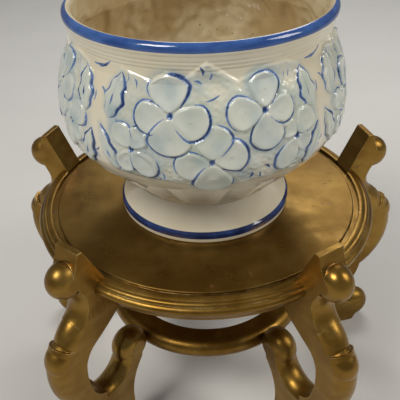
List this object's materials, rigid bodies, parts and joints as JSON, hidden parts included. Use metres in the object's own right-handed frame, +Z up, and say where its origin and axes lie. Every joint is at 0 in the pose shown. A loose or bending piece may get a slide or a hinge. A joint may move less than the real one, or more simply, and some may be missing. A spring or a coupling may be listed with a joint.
{
  "type": "jardiniere on stand",
  "caption": "Glazed pottery jardiniere with relief flowers and a fluted bowl, standing on a low gilded wooden plant stand with scroll legs, a moulded rim and a ring stretcher.",
  "frame": {"origin": "middle of the jardiniere's flat inner floor, on the upright axis that the jardiniere and the stand share", "axes": "+Z up along that axis; leg_1, the back leg, points along +Y; +X to the right seen from the front, where the picture was taken; the soles of the feet are at Z = -0.296 m"},
  "size_m": [0.4616, 0.4405, 0.468],
  "materials": {
    "gilded_wood": "gold paint over wood, semi-gloss, worn at the edges",
    "glazed_pottery": "glossy cream glaze with painted blue decoration",
    "screw_steel": "dull plated steel",
    "bare_wood": "unfinished"
  },
  "bodies": {
    "stand": {"top_panel": "gilded_wood", "rim_segment_1": "gilded_wood", "rim_segment_2": "gilded_wood", "rim_segment_3": "gilded_wood", "rim_segment_4": "gilded_wood", "rim_segment_5": "gilded_wood", "leg_1": "gilded_wood", "leg_2": "gilded_wood", "leg_3": "gilded_wood", "leg_4": "gilded_wood", "leg_5": "gilded_wood", "stretcher_ring": "gilded_wood", "panel_screws": "screw_steel", "ring_screws": "screw_steel", "rim_dowels": "bare_wood"},
    "jardiniere": {"jardiniere": "glazed_pottery"}
  },
  "joints": [
    {"name": "jardiniere_lift", "type": "slide", "parent": "stand", "child": "jardiniere", "axis": [0, 0, 1], "range_m": [0, 0.1]}
  ]
}
